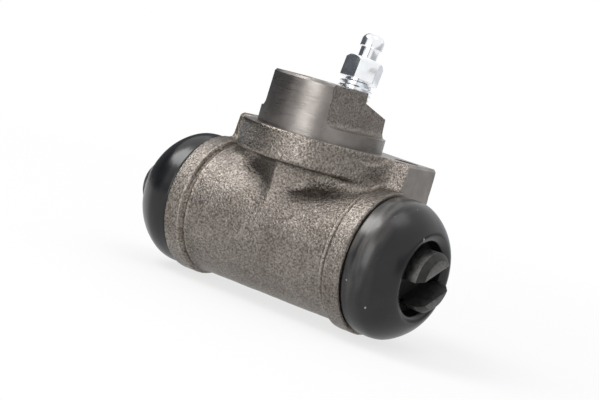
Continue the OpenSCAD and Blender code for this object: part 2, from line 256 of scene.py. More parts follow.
def plainMaterial(name, look, **sockets):  # one pattern for both
    material, tree, shader = newMaterial(name, **sockets)
    pattern = noiseNode(tree, look["scale"], look["detail"])
    paint(tree, shader, look, pattern, pattern)
    return material, tree, shader, pattern


castLook = {
    "dark": (0.18, 0.158, 0.139), "light": (0.262, 0.236, 0.213), "spread": 0.2, "grain": 2300, "fine": 5200, "blotch": 150,
    "pits": [(0.34, (0.46, 0.44, 0.42)), (0.5, (0.93, 0.93, 0.93)), (0.66, (1.4, 1.4, 1.4))],
    "rough": (0.22, 0.42), "fineShare": 0.3, "relief": 0.00021,
    "barrelEdge": (0.0161, 0.0164), "headFoot": (-0.0072, -0.0058), "headTop": (0.0, 0.001), "flangeEdge": (0.0165, 0.0185),
    "flangePolish": 0.07, "flangeRelief": 0.6, "shadedLeftTip": (-0.0229, -0.0221), "paintedTipShade": (0.65, 0.63, 0.6),
    # painted highlight and painted shade rings along the collar's step
    "paintedCollarLines": [(0.02043, 0.0003, (1.38, 1.37, 1.35)), (0.01958, 0.0004, (0.62, 0.6, 0.58)),
                    (0.01893, 0.0003, (1.3, 1.29, 1.28))],
}
castIron, tree, shader = newMaterial("castIron", Metallic=1.0)
grain = noiseNode(tree, castLook["grain"], 2, roughness=0.6)
fine = noiseNode(tree, castLook["fine"], 2)
tone = twoTones(tree, noiseNode(tree, castLook["blotch"], 4), castLook)
tone = tintNode(tree, "MULTIPLY", 1.0, tone, rampNode(tree, grain, castLook["pits"]))
x, y, z = axesNode(tree)
along = mathNode(tree, "ABSOLUTE", x, 0)
below = mathNode(tree, "SUBTRACT", z, boreZ / 1000)
squares = mathNode(tree, "ADD", mathNode(tree, "MULTIPLY", y, y), mathNode(tree, "MULTIPLY", below, below))
onBarrel = rangeNode(tree, mathNode(tree, "SQRT", squares, 0), 1, 0, *castLook["barrelEdge"])
for place, width, shade in castLook["paintedCollarLines"]:  # painted highlight and painted shade: light and dark rings where barrel and collar meet
    off = mathNode(tree, "ABSOLUTE", mathNode(tree, "SUBTRACT", along, place), 0)
    near = rangeNode(tree, off, 1, 0, 0.3 * width, width)
    tone = tintNode(tree, "MULTIPLY", mathNode(tree, "MULTIPLY", near, onBarrel), tone, shade)
onHead = mathNode(tree, "MULTIPLY", rangeNode(tree, z, 0, 1, *castLook["headFoot"]),
                  rangeNode(tree, z, 1, 0, *castLook["headTop"]))
# painted shade: the left lug's tip beside the flange is darkened
shadedLeftTip = mathNode(tree, "MULTIPLY", onHead, rangeNode(tree, x, 1, 0, *castLook["shadedLeftTip"]))
onFlange = mathNode(tree, "MULTIPLY", onHead, rangeNode(tree, along, 1, 0, *castLook["flangeEdge"]))
tree.links.new(tintNode(tree, "MULTIPLY", shadedLeftTip, tone, castLook["paintedTipShade"]), shader.inputs["Base Color"])
polish = mathNode(tree, "MULTIPLY", onFlange, castLook["flangePolish"])
tree.links.new(mathNode(tree, "SUBTRACT", rangeNode(tree, fine, *castLook["rough"]), polish), shader.inputs["Roughness"])
height = mathNode(tree, "ADD", grain, mathNode(tree, "MULTIPLY", fine, castLook["fineShare"]))
height = mathNode(tree, "MULTIPLY", height, rangeNode(tree, onFlange, 1, castLook["flangeRelief"], 0, 1))
bumpNode(tree, shader, height, 1.0, castLook["relief"])

turnedLook = {
    "dark": (0.19, 0.173, 0.16), "light": (0.27, 0.25, 0.236), "spread": 0.2, "rough": (0.25, 0.37),
    "rings": 240, "stretch": (1, 1, 13), "stain": 260, "relief": 0.000025,
}
turnedIron, tree, shader = newMaterial("turnedIron", Metallic=1.0)
rings = noiseNode(tree, turnedLook["rings"], 4, turnedLook["stretch"], 0.65)
paint(tree, shader, turnedLook, noiseNode(tree, turnedLook["stain"], 4), rings)
bumpNode(tree, shader, rings, 0.8, turnedLook["relief"])

milledLook = {
    "dark": (0.225, 0.207, 0.193), "light": (0.31, 0.29, 0.273), "spread": 0.2, "rough": (0.34, 0.48),
    "lines": 160, "stretch": (22, 22, 1), "stain": 300, "relief": 0.00004,
}
milledIron, tree, shader = newMaterial("milledIron", Metallic=1.0)
lines = noiseNode(tree, milledLook["lines"], 4, milledLook["stretch"], 0.6)
paint(tree, shader, milledLook, noiseNode(tree, milledLook["stain"], 4), lines)
bumpNode(tree, shader, lines, 0.4, milledLook["relief"])

rubberLook = {
    "dark": (0.0042, 0.0044, 0.0054), "light": (0.008, 0.0083, 0.0098), "spread": 0.15, "rough": (0.2, 0.29), "cloud": 160,
    "pores": 2600, "relief": 0.00003, "dust": (0.30, 0.29, 0.28), "dustScale": 700, "dustFrom": (0.785, 0.80),
    "paintedStreak": (0.08, 0.074, 0.07), "streakScale": 110, "streakStretch": (5, 1, 1), "streakPatches": (0.36, 0.62),
    "rightSide": (0.0, 0.001), "bandEnd": (0.0285, 0.0318), "streakHeight": (-0.033, -0.019),
}
blackRubber, tree, shader = newMaterial("blackRubber", Specular_IOR_Level=0.41)
cloud = noiseNode(tree, rubberLook["cloud"], 4)
x, y, z = axesNode(tree)
onRight = rangeNode(tree, x, 0, 1, *rubberLook["rightSide"])
paintedStreak = mathNode(tree, "MULTIPLY", onRight, rangeNode(tree, x, 1, 0, *rubberLook["bandEnd"]))  # painted reflection streak, only on the right boot's band
paintedStreak = mathNode(tree, "MULTIPLY", paintedStreak, rangeNode(tree, z, 0, 1, *rubberLook["streakHeight"]))
# painted reflection: lighter brownish patches along the band
patches = noiseNode(tree, rubberLook["streakScale"], 3, rubberLook["streakStretch"])
paintedStreak = mathNode(tree, "MULTIPLY", paintedStreak, rangeNode(tree, patches, 0.1, 1, *rubberLook["streakPatches"]))
tone = tintNode(tree, "MIX", paintedStreak, twoTones(tree, cloud, rubberLook), rubberLook["paintedStreak"])
dust = rangeNode(tree, noiseNode(tree, rubberLook["dustScale"], 1), 0, 1, *rubberLook["dustFrom"])
dust = mathNode(tree, "MULTIPLY", dust, onRight)
tree.links.new(tintNode(tree, "MIX", dust, tone, rubberLook["dust"]), shader.inputs["Base Color"])
tree.links.new(rangeNode(tree, cloud, *rubberLook["rough"]), shader.inputs["Roughness"])
bumpNode(tree, shader, noiseNode(tree, rubberLook["pores"], 2), 0.12, rubberLook["relief"])

# painted shade: darker, less glossy rubber for the deep inside of the boots' mouths
shadedMouthLook = {
    "dark": (0.003, 0.003, 0.0032), "light": (0.007, 0.007, 0.0072), "spread": 0.15, "rough": (0.6, 0.75),
    "scale": 400, "detail": 4,
}
shadedMouthRubber = plainMaterial("shadedMouthRubber", shadedMouthLook, Specular_IOR_Level=0.12)[0]

pistonLook = {
    "dark": (0.075, 0.073, 0.07), "light": (0.15, 0.146, 0.141), "spread": 0.15, "rough": (0.34, 0.5),
    "scale": 900, "detail": 4, "rings": 240, "stretch": (16, 1, 1), "relief": 0.00006,
}
pistonGrey, tree, shader, wear = plainMaterial("pistonGrey", pistonLook, Metallic=0.9)
rings = noiseNode(tree, pistonLook["rings"], 4, pistonLook["stretch"], 0.6)
bumpNode(tree, shader, mathNode(tree, "ADD", rings, wear), 0.6, pistonLook["relief"])

# painted shade: near-black metal for the pistons' slots, the tapped holes and the pistons' chamfers
paintedShadeLook = {
    "dark": (0.018, 0.018, 0.017), "light": (0.035, 0.034, 0.033), "spread": 0.15, "rough": (0.45, 0.6),
    "scale": 900, "detail": 4,
}
paintedShadeDark = plainMaterial("paintedShadeDark", paintedShadeLook, Metallic=0.6)[0]

zincLook = {
    "dark": (0.84, 0.865, 0.9), "light": (0.96, 0.97, 0.985), "spread": 0.15, "rough": (0.12, 0.2),
    "scale": 500, "detail": 4, "relief": 0.00002,
}
brightZinc, tree, shader, haze = plainMaterial("brightZinc", zincLook, Metallic=1.0)
bumpNode(tree, shader, haze, 0.1, zincLook["relief"])

steelLook = {
    "dark": (0.36, 0.36, 0.37), "light": (0.46, 0.46, 0.47), "spread": 0.15, "rough": (0.28, 0.4), "scale": 700, "detail": 3,
}
plainSteel = plainMaterial("plainSteel", steelLook, Metallic=1.0)[0]
print("materials done")


# cylinder body: cast first, then machined

ironFinishes = [castIron, turnedIron, milledIron, paintedShadeDark]
asCast, asTurned, asMilled, asPaintedShade = range(len(ironFinishes))
casting = {
    "barrel": 15.0, "collar": 15.6, "collarWidth": 4.0, "collarSlope": 0.55, "stock": 0.25, "edge": 0.6,
    "flange": 17.45, "flangeThick": 6.5, "flangeEdge": 0.7, "pedestal": 13.2, "ridge": 0.9,
    "lugWidth": 11.9, "lugMiddle": 7.2, "lugEnd": 23.6, "lugEdge": 0.6, "lugLeftEdge": 0.5, "lugTop": 1.5, "lugDraft": 0.12,
    "lugFoot": 6, "lugFillet": 6.0, "lugLeftFillet": 1.2, "filletChange": 12,
    "gusset": (12.2, -2.6, 5.2), "gussetTop": -3, "gussetFoot": 8, "gussetDepth": 10,
    "fillet": 2.0, "webFillet": 2.2, "footFillet": 2.0,
    "dent": (5.4, -11.1, -11.3), "dentAlong": (0.802, 0.463, 0.378), "dentLength": 1.7, "dentWidth": 0.8, "dentDepth": 0.52,
    "roughVoxel": 0.5, "voxel": 0.35, "sand": 0.05, "sandScale": 1.1, "sink": 0.3,
    "waves": 0.07, "waveScale": 0.22, "waveFrom": (7, 3, 1),
}


def castShape(c):  # rough overlapping shells, one inside the other
    bm = bmesh.new()
    end = halfBody + c["stock"]
    step = halfBody - c["collarWidth"]
    half = [(c["barrel"], step - c["collarSlope"]), (c["collar"], step), (c["collar"], end), (0, end)]
    outline = [(radius, -along) for radius, along in reversed(half)] + half
    shapes = [turned(outline, alongBore, 160)]
    depth = -boreZ - c["flangeThick"] / 2
    shapes.append(roundBar(c["pedestal"], depth, 6, Matrix.Translation((0, 0, boreZ + depth / 2))))
    depth = c["flangeThick"] + c["stock"]
    shapes.append(roundBar(c["flange"], depth, 160, Matrix.Translation((0, 0, c["stock"] - depth / 2))))
    depth = c["stock"] - boreZ - c["lugFoot"]
    shapes.append(bmesh.new())
    bmesh.ops.create_cube(shapes[-1], size=1, matrix=Matrix.Translation((0, c["lugMiddle"], c["stock"] - depth / 2))
                          @ Matrix.Diagonal((2 * (c["lugEnd"] + c["stock"]), c["lugWidth"], depth, 1)))
    x, y, radius = c["gusset"]
    depth = c["gussetDepth"]
    for sign in (-1, 1):
        shapes.append(roundBar(radius, depth, 48, Matrix.Translation((sign * x, y, c["gussetTop"] - depth / 2))))
    for shape in shapes:
        mesh = bpy.data.meshes.new("shape")
        shape.to_mesh(mesh)
        bm.from_mesh(mesh)
        shape.free()
        bpy.data.meshes.remove(mesh)
    return bm


def softMin(a, b, blend):  # the nearer of two shapes, with a fillet between them
    near = np.clip(blend - np.abs(a - b), 0, None) / blend
    return np.minimum(a, b) - near * near * blend / 4


def roundedCorner(a, b, radius):  # two walls meeting in a rounded edge
    a, b = a + radius, b + radius
    return np.minimum(np.maximum(a, b), 0) + np.hypot(np.maximum(a, 0), np.maximum(b, 0)) - radius


def castDistance(p, c, slant=0.866, upright=0.993):  # how far points stand from the filleted casting's skin
    # slant is the cosine of 30 degrees, and upright makes up for the lug's leaning front
    x, y, z = np.abs(p[:, 0]), p[:, 1], p[:, 2]
    lugEnd = c["lugEnd"] + c["stock"]
    rise = np.clip((x - halfBody + c["collarWidth"] + c["collarSlope"]) / c["collarSlope"], 0, 1)
    barrel = np.hypot(y, z - boreZ) - c["barrel"] - (c["collar"] - c["barrel"]) * rise
    barrel = roundedCorner(barrel, x - (halfBody + c["stock"]), c["edge"])
    apothem = c["pedestal"] * math.cos(math.pi / 6)
    sides = -softMin(softMin(-x, -(x / 2 + y * slant), c["ridge"]), -(x / 2 - y * slant), c["ridge"]) - apothem
    pedestal = np.maximum(sides, np.maximum(z + c["flangeThick"] / 2, boreZ - z))
    flange = roundedCorner(np.hypot(x, y) - c["flange"], np.abs(z + c["flangeThick"] / 2 - c["stock"] / 2)
                           - c["flangeThick"] / 2 - c["stock"] / 2, c["flangeEdge"])
    front = (c["lugMiddle"] - c["lugWidth"] / 2 + c["lugDraft"] * z - y) * upright
    front = roundedCorner(front, x - lugEnd, np.where(p[:, 0] < 0, c["lugLeftEdge"], c["lugEdge"]))
    front = roundedCorner(front, z - c["stock"], c["lugTop"])
    rear = roundedCorner(y - c["lugMiddle"] - c["lugWidth"] / 2, x - lugEnd, c["lugEdge"])
    lug = np.maximum(np.maximum(front, rear), np.maximum(z - c["stock"], boreZ + c["lugFoot"] - z))
    gussetX, gussetY, gussetRadius = c["gusset"]
    gusset = np.maximum(np.hypot(x - gussetX, y - gussetY) - gussetRadius,
                        np.maximum(z - c["gussetTop"], boreZ + c["gussetFoot"] - z))
    lugBlend = np.interp(p[:, 0], (-c["filletChange"], c["filletChange"]), (c["lugLeftFillet"], c["lugFillet"]))
    head = softMin(softMin(flange, gusset, c["fillet"]), lug, lugBlend)
    skin = softMin(head, softMin(barrel, pedestal, c["footFillet"]), c["webFillet"])
    away = p - np.array(c["dent"])
    along = away @ np.array(c["dentAlong"])
    across = (away ** 2).sum(1) - along ** 2
    return skin + c["dentDepth"] * np.exp(-(along / c["dentLength"]) ** 2 - across / c["dentWidth"] ** 2)


def settle(mesh, c, rounds, probe=0.02, stride=0.7, flattest=0.3):  # draws every vertex onto the filleted skin
    p = np.empty(len(mesh.vertices) * 3)
    mesh.vertices.foreach_get("co", p)
    p = p.reshape(-1, 3)
    for i in range(rounds):
        rises = [castDistance(p + move, c) - castDistance(p - move, c) for move in np.eye(3) * probe]
        slope = np.stack(rises, 1) / (2 * probe)
        gap = np.clip(castDistance(p, c), -stride, stride)
        p -= gap[:, None] * slope / np.maximum((slope ** 2).sum(1), flattest)[:, None]
    mesh.vertices.foreach_set("co", p.ravel())
    mesh.update()


def skinOver(obj, voxel):
    step = obj.modifiers.new("one skin", "REMESH")
    step.mode = "VOXEL"
    step.voxel_size = voxel
    bakeModifiers(obj)


def sandSurface(bm, c):
    bm.normal_update()
    for v in bm.verts:
        grains = noise.noise(v.co * c["sandScale"])
        waves = noise.noise(v.co * c["waveScale"] + Vector(c["waveFrom"]))
        v.co += v.normal * (grains * c["sand"] + waves * c["waves"] - c["sand"] * c["sink"])


def faceOff(bm, point, normal):  # machines everything beyond a plane away
    geom = bm.verts[:] + bm.edges[:] + bm.faces[:]
    cut = bmesh.ops.bisect_plane(bm, geom=geom, dist=1e-5, plane_co=point, plane_no=normal, clear_outer=True)["geom_cut"]
    rim = [e for e in cut if isinstance(e, bmesh.types.BMEdge)]
    for face in bmesh.ops.holes_fill(bm, edges=rim, sides=0)["faces"]:
        face.material_index = asMilled


def cutBody(bm, name, finish):
    combine(body, asObject(bm, name, ironFinishes, finish), "DIFFERENCE")


def addToBody(bm, name, finish):
    combine(body, asObject(bm, name, ironFinishes, finish), "UNION")


body = asObject(castShape(casting), "casting", ironFinishes)
skinOver(body, casting["roughVoxel"])
settle(body.data, casting, 6)
skinOver(body, casting["voxel"])
settle(body.data, casting, 2)
bm = bmesh.new()
bm.from_mesh(body.data)
sandSurface(bm, casting)
faceOff(bm, (0, 0, 0), (0, 0, 1))
faceOff(bm, (halfBody, 0, 0), (1, 0, 0))
faceOff(bm, (-halfBody, 0, 0), (-1, 0, 0))
bm.to_mesh(body.data)
bm.free()

milling = {
    "radius": 16.1, "tool": 2.0, "front": -6, "rear": 15.5, "above": 2, "steps": 24,
    "break": 0.6, "leftBreak": 0.3, "over": 0.5, "edgeLength": 40,
}
lugEnd = casting["lugEnd"]
acrossLug = np.linspace(milling["front"], milling["rear"], milling["steps"])
lugFace = [(y, boreZ + math.sqrt(milling["radius"] ** 2 - y * y)) for y in acrossLug]
lugFace += [(milling["rear"], milling["above"]), (milling["front"], milling["above"])]
for side in (Matrix.Identity(4), otherEnd):  # mills the lugs' ends down to the collars
    place = side @ Matrix.Translation((lugEnd + milling["tool"] / 2, 0, 0)) @ alongX
    cutBody(prism(lugFace, milling["tool"], place), "facing", asMilled)
over = milling["over"]
for side, leg in ((alongY, milling["break"]), (otherEnd @ alongY, milling["leftBreak"])):  # breaks their top edges
    wedge = [(lugEnd - leg - over, over), (lugEnd + over, -leg - over), (lugEnd + over, over)]
    cutBody(prism(wedge, milling["edgeLength"], side), "lug edge", asMilled)

collar = {
    "radius": 16.0, "edge": 0.3, "slope": 0.75, "ridge": 0.14, "ridgeAt": 1.55, "hub": 13.0, "sink": 0.3, "short": 0.03,
}
step = halfBody - casting["collarWidth"]
face = halfBody - collar["short"]
barrel, outer, hub = casting["barrel"], collar["radius"], collar["hub"]
ridge, ridgeAt, slopeAt = barrel + collar["ridge"], step - collar["ridgeAt"], step - collar["slope"]
ringOutline = [
    (hub, ridgeAt - 0.7), (barrel - collar["sink"], ridgeAt - 0.7), (barrel, ridgeAt - 0.4), (ridge, ridgeAt - 0.1),
    (ridge, ridgeAt + 0.15), (barrel + 0.02, ridgeAt + 0.45), (barrel + 0.02, slopeAt - 0.15),
    (barrel + 0.16, slopeAt + 0.15), (outer - 0.16, step - 0.2), (outer - 0.03, step), (outer, step + 0.25),
    (outer, face - collar["edge"]), (outer - collar["edge"], face), (hub, face), (hub, step)]
for side in bothEnds:
    ring = turned(ringOutline + ringOutline[:1], side, 240)
    sandSurface(ring, casting)
    addToBody(ring, "collar", asCast)
print("casting skinned and faced")

spigot = {"radius": 13.5, "length": 3.6, "grooveDepth": 0.8, "grooveFrom": 1.1, "grooveWidth": 1.4, "edge": 0.4, "root": 0.8}
reach = halfBody + spigot["length"]
grooveRadius = spigot["radius"] - spigot["grooveDepth"]
grooveFrom = halfBody + spigot["grooveFrom"]
spigotOutline = [
    (0, halfBody - spigot["root"]), (spigot["radius"], halfBody - spigot["root"]), (spigot["radius"], grooveFrom),
    (grooveRadius, grooveFrom), (grooveRadius, grooveFrom + spigot["grooveWidth"]),
    (spigot["radius"], grooveFrom + spigot["grooveWidth"]), (spigot["radius"], reach - spigot["edge"]),
    (spigot["radius"] - spigot["edge"], reach), (0, reach)]
for side in bothEnds:
    addToBody(turned(spigotOutline, side, 128), "spigot", asTurned)

boss = {
    "pilot": 14.35, "pilotHeight": 3.15, "top": 14.05, "height": 12.2, "chamfer": 0.5, "root": 1.0, "over": 1,
    "flatFillet": 1.6, "stepY": 2.3, "stepDrop": 2.3, "rearSlope": 15,
    "rightFlat": {"top": 7.8, "foot": 8.35, "rise": 0.02}, "leftFlat": {"top": 8.7, "foot": 8.65, "rise": 0.45},
}
bossOutline = [
    (0, -boss["root"]), (boss["pilot"], -boss["root"]), (boss["pilot"], boss["pilotHeight"]),
    (boss["top"], boss["height"] - boss["chamfer"]), (boss["top"] - boss["chamfer"], boss["height"]), (0, boss["height"])]
bossPiece = asObject(turned(bossOutline, Matrix.Identity(4), 160), "boss", ironFinishes, asTurned)
wide = 2 * boss["pilot"]
clear = boss["height"] + boss["over"]
for side, flat in ((alongY, boss["rightFlat"]), (otherEnd @ alongY, boss["leftFlat"])):  # as cast, so each leans by itself
    floor = boss["pilotHeight"] + flat["rise"]
    centre = (flat["foot"] + boss["flatFillet"], floor + boss["flatFillet"])
    lean = math.degrees(math.atan2(flat["foot"] - flat["top"], boss["height"] - floor))
    corner = arcPoints(centre, boss["flatFillet"], 180 + lean, 270, 8)
    flatOutline = [(flat["top"], clear)] + corner + [(wide, floor), (wide, clear)]
    combine(bossPiece, asObject(prism(flatOutline, 2 * wide, side), "flat", ironFinishes, asCast), "DIFFERENCE")
stepY, stepZ = boss["stepY"], boss["height"] - boss["stepDrop"]
fall = wide * math.tan(math.radians(boss["rearSlope"]))
rearOutline = [(stepY, clear), (stepY, stepZ), (stepY + wide, stepZ - fall), (stepY + wide, clear)]
combine(bossPiece, asObject(prism(rearOutline, 2 * wide, alongX), "rear", ironFinishes, asMilled), "DIFFERENCE")
combine(body, bossPiece, "UNION")
print("boss joined")


def threadCutter(hole, over=1.0):  # tapped hole below local Z 0, with ring grooves and a drill point
    core, crest, pitch, depth, mouth = (hole[k] for k in ("core", "crest", "pitch", "depth", "mouth"))
    outline = [(0, -depth - core * 0.58), (core, -depth)]
    turns = int((depth - mouth) / pitch)
    for i in range(turns):
        low = -depth + i * pitch
        groove = ((core, 0.1), (crest, 0.45), (crest, 0.6), (core, 0.95))  # radius, and how far up the turn
        outline += [(radius, low + pitch * part) for radius, part in groove]
    outline += [(core, -mouth), (core + mouth, 0), (core + mouth + over, over), (0, over)]
    return outline


inlet = {"y": -6.6, "core": 4.5, "crest": 4.95, "pitch": 1.0, "depth": 10.0, "mouth": 0.45, "passage": 1.5, "passageTop": 1}
cutBody(turned(threadCutter(inlet), Matrix.Translation((0, inlet["y"], boss["height"])), 96), "inlet", asTurned)

bolt = {"x": 19.0, "y": 7.2, "core": 2.5, "crest": 2.9, "pitch": 1.0, "depth": 8.0, "mouth": 0.3}
# painted shade: the tapped holes get the near-black colour
for x in (-bolt["x"], bolt["x"]):
    cutBody(turned(threadCutter(bolt), Matrix.Translation((x, bolt["y"], 0)), 64), "tapped", asPaintedShade)

bleedHole = {
    "y": 7.95, "z": 8.39, "lean": 10, "radius": 4.0, "mouth": 0.4, "over": 2, "thread": 8.5, "seat": 3.0, "depth": 10.6,
    "cone": (1.25, 1.75), "point": 3.5,
}
b = bleedHole
onBleed = Matrix.Translation((0, b["y"], b["z"])) @ Matrix.Rotation(math.radians(-b["lean"]), 4, "X")
bleedOutline = [
    (0, -b["depth"] - b["point"]), (b["cone"][0], -b["depth"] - b["cone"][1]), (b["seat"], -b["depth"]),
    (b["seat"], -b["thread"]), (b["radius"], -b["thread"]), (b["radius"], -b["mouth"]),
    (b["radius"] + b["mouth"], 0), (b["radius"] + b["mouth"], b["over"]), (0, b["over"])]
cutBody(turned(bleedOutline, onBleed, 96), "bleed hole", asTurned)

bore = {"flare": 1.6, "flareDepth": 0.6, "over": 1}
flare, flareAt, past = boreRadius + bore["flare"], reach - bore["flareDepth"], reach + bore["over"]
boreOutline = [(0, -past), (flare, -past), (boreRadius, -flareAt), (boreRadius, flareAt), (flare, past), (0, past)]
cutBody(turned(boreOutline, alongBore, 128), "bore", asTurned)
passage = [(0, boreZ), (inlet["passage"], boreZ), (inlet["passage"], inlet["passageTop"]), (0, inlet["passageTop"])]
cutBody(turned(passage, Matrix.Translation((0, inlet["y"], 0)), 32), "passage", asTurned)
body.name = "castBody"
placePiece(body, "housing", "iron", "cylinder_body", smooth=32)


# rubber boots, spun: a straight band that runs over into a dome

boot = {
    "foot": 24.55, "seat": 13.6, "band": 15.5, "edge": 0.7, "length": 11.05, "domeFrom": 28.45, "wall": 1.5, "crown": 1.2,
    "throat": 7.85, "throatWall": 0.9, "lip": 5.7, "lipOut": 8.0, "lipWidth": 0.65, "overSpigot": 3.7, "shadedMouthTo": 0.25,
    "swell": [(15.42, 26.0), (15.5, 27.2), (15.45, 28.5), (15.24, 29.6), (14.74, 30.75), (13.95, 32.05), (13.0, 33.25),
              (12.0, 34.25), (11.1, 34.95), (10.45, 35.32), (9.9, 35.5)],
    "mouth": [(9.9, 35.5), (9.45, 35.47), (9.0, 35.34), (8.65, 35.14), (8.4, 34.9), (8.2, 34.55), (8.05, 34.0),
              (7.95, 33.4)],
    "stretchFrom": 4.1, "stretchTo": 0.6, "leftStretch": 0.42,
}


def curvePoints(points, steps):  # smooth curve through the points
    ends = [points[0]] + points + [points[-1]]
    curve = []
    for a, b, c, d in zip(ends, ends[1:], ends[2:], ends[3:]):
        for i in range(steps):
            t = i / steps
            curve.append(tuple(
                0.5 * (2 * q + (r - p) * t + (2 * p - 5 * q + 4 * r - s) * t * t + (3 * q - p - 3 * r + s) * t ** 3)
                for p, q, r, s in zip(a, b, c, d)))
    return curve + [points[-1]]


def bootOutline(b, stretch, shift):
    crestAt = halfBody + b["length"] + stretch
    lipOut = halfBody + b["lipOut"] + shift
    lipIn = lipOut - b["lipWidth"]
    spigotOut = halfBody + b["overSpigot"]
    inner = b["throat"] + b["throatWall"]
    follow = 1 + stretch / (b["swell"][-1][1] - b["domeFrom"])
    swell = [(radius, along + max(0, along - b["domeFrom"]) * (follow - 1)) for radius, along in curvePoints(b["swell"], 4)]
    corner = b["swell"][0][0] - 0.02
    outside = [(b["seat"], b["foot"])] + arcPoints((corner - b["edge"], b["foot"] + b["edge"]), b["edge"], -90, 0, 6) + swell
    reach = min(1, (crestAt - lipOut) / (b["length"] - b["lipOut"]))
    rolled = [(radius, crestAt - (b["mouth"][0][1] - along) * reach) for radius, along in curvePoints(b["mouth"], 3)[1:]]
    inside = [(b["throat"], lipOut), (b["lip"], lipOut), (b["lip"], lipIn), (inner, lipIn)]
    under = crestAt - b["wall"] * b["crown"]
    within = [(radius - b["wall"], min(along, under)) for radius, along in swell if radius - b["wall"] > inner]
    inside += [(radius, min(along, lipIn)) for radius, along in reversed(within) if along > b["domeFrom"]]
    inside += [(b["band"] - b["wall"], spigotOut), (b["seat"], spigotOut), (b["seat"], b["foot"])]
    return outside + rolled + inside


def makeBoot(name, side, stretch, shift, node):
    piece = asObject(turned(bootOutline(boot, stretch, shift), side, 144), name, [blackRubber, shadedMouthRubber])
    # painted shade: faces deep in the mouth get the darker rubber
    for face in piece.data.polygons:
        if math.hypot(face.center.y, face.center.z - boreZ) < boot["throat"] + boot["shadedMouthTo"]:
            face.material_index = 1
    placePiece(piece, None, "rubber", node, smooth=50)
    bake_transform(piece)


makeBoot("rightBoot", bothEnds[0], 0, 0, "right_boot")
makeBoot("leftBoot", bothEnds[1], boot["leftStretch"], leftShift, "left_boot")


# pistons with slotted heads

piston = {
    "radius": 9.49, "inner": 14.0, "shoulder": 26.85, "tip": 38.7, "head": 6.65, "chamfer": 1.35, "neck": 5.6,
    "neckIn": 31.7, "neckOut": 33.7, "edge": 0.4, "slotWidth": 5.9, "slotDepth": 6.45, "slotLength": 30, "slotTool": 10,
    "burr": 0.12, "darkChamferEdge": 0.1, "darkChamferLean": (0.45, 0.9),
}


def makePiston(name, side, slotTurn, slotDrop, shift, pistonSet, node):
    p = piston
    outline = [
        (0, p["inner"]), (p["radius"] - p["edge"], p["inner"]), (p["radius"], p["inner"] + p["edge"]),
        (p["radius"], p["shoulder"] - p["edge"]), (p["radius"] - p["edge"], p["shoulder"]),
        (p["neck"] + p["edge"], p["neckIn"]), (p["neck"], p["neckIn"]), (p["neck"], p["neckOut"]), (p["head"], p["neckOut"]),
        (p["head"], p["tip"] - p["chamfer"]), (p["head"] - p["chamfer"], p["tip"]), (0, p["tip"])]
    finishes = [pistonGrey, paintedShadeDark]
    place = side @ Matrix.Translation((0, 0, shift))
    piece = asObject(turned(outline, place, 128), name, finishes)
    floor = p["tip"] - p["slotDepth"]
    slot = bmesh.new()
    bmesh.ops.create_cube(slot, size=1, matrix=place @ Matrix.Rotation(math.radians(slotTurn + 90), 4, "Z")
                          @ Matrix.Translation((0, -slotDrop, floor + p["slotTool"] / 2))
                          @ Matrix.Diagonal((p["slotLength"], p["slotWidth"], p["slotTool"], 1)))
    bmesh.ops.recalc_face_normals(slot, faces=slot.faces)
    # painted shade: the slot's walls get the near-black colour
    combine(piece, asObject(slot, "slot", finishes, 1), "DIFFERENCE")
    softenEdges(piece, p["burr"], 2, 28)
    low, high = p["darkChamferLean"]
    for face in piece.data.polygons:  # the chamfer faces get the same dark colour as the slot
        along = abs(face.center.x) - shift
        if p["tip"] - p["chamfer"] < along < p["tip"] - p["darkChamferEdge"] and low < abs(face.normal.x) < high:
            face.material_index = 1
    placePiece(piece, pistonSet, "piston", node, smooth=30)


makePiston("rightPiston", bothEnds[0], 26, 0.35, 0, "right_set", "right_piston")
makePiston("leftPiston", bothEnds[1], 75, 0, leftShift, "left_set", "left_piston")


# bleed screw: threaded shank, hexagon and hose nipple

screw = {
    "radius": 3.95, "root": 3.42, "pitch": 1.0, "crest": (0.42, 0.55), "shank": 2.95, "deep": -8.45, "neck": 5.85,
    "relief": 0.25, "hexFlats": 8.0, "hexHeight": 5.05, "hexDrop": 0.8, "hexTurn": 48,
    "stem": 2.12, "stemRoot": 0.25, "nipple": 5.9,
    "barb": 2.58, "barbLength": 3.2, "nose": [(0, 1.3), (0.1, 0.95), (0.4, 0.45), (0.8, 0.1), (1.1, 0)],
    "way": 0.9, "wayEdge": 0.15, "wayDepth": 4, "seatEnd": -10.45, "seatLength": 1.7, "tip": 1.2,
}


def threadShank(s, steps=48):  # one zigzag wound up by a spin that climbs a pitch a turn
    bm = bmesh.new()
    turns = int(s["neck"] - s["relief"] - s["deep"]) - 1
    points = []
    for i in range(turns):
        low = s["deep"] + i * s["pitch"]
        points += [(s["root"], low), (s["radius"], low + s["crest"][0]), (s["radius"], low + s["crest"][1])]
    points.append((s["root"], s["deep"] + turns * s["pitch"]))
    verts = [bm.verts.new((radius, 0, along)) for radius, along in points]
    edges = [bm.edges.new(pair) for pair in zip(verts, verts[1:])]
    bmesh.ops.spin(bm, geom=verts + edges, cent=(0, 0, 0), axis=(0, 0, 1), dvec=(0, 0, s["pitch"] / steps),
                   angle=2 * math.pi, steps=steps)
    bmesh.ops.remove_doubles(bm, verts=bm.verts, dist=1e-3)
    bmesh.ops.holes_fill(bm, edges=[e for e in bm.edges if e.is_boundary], sides=0)
    bmesh.ops.recalc_face_normals(bm, faces=bm.faces)
    bmesh.ops.transform(bm, matrix=onBleed, verts=bm.verts)
    return bm


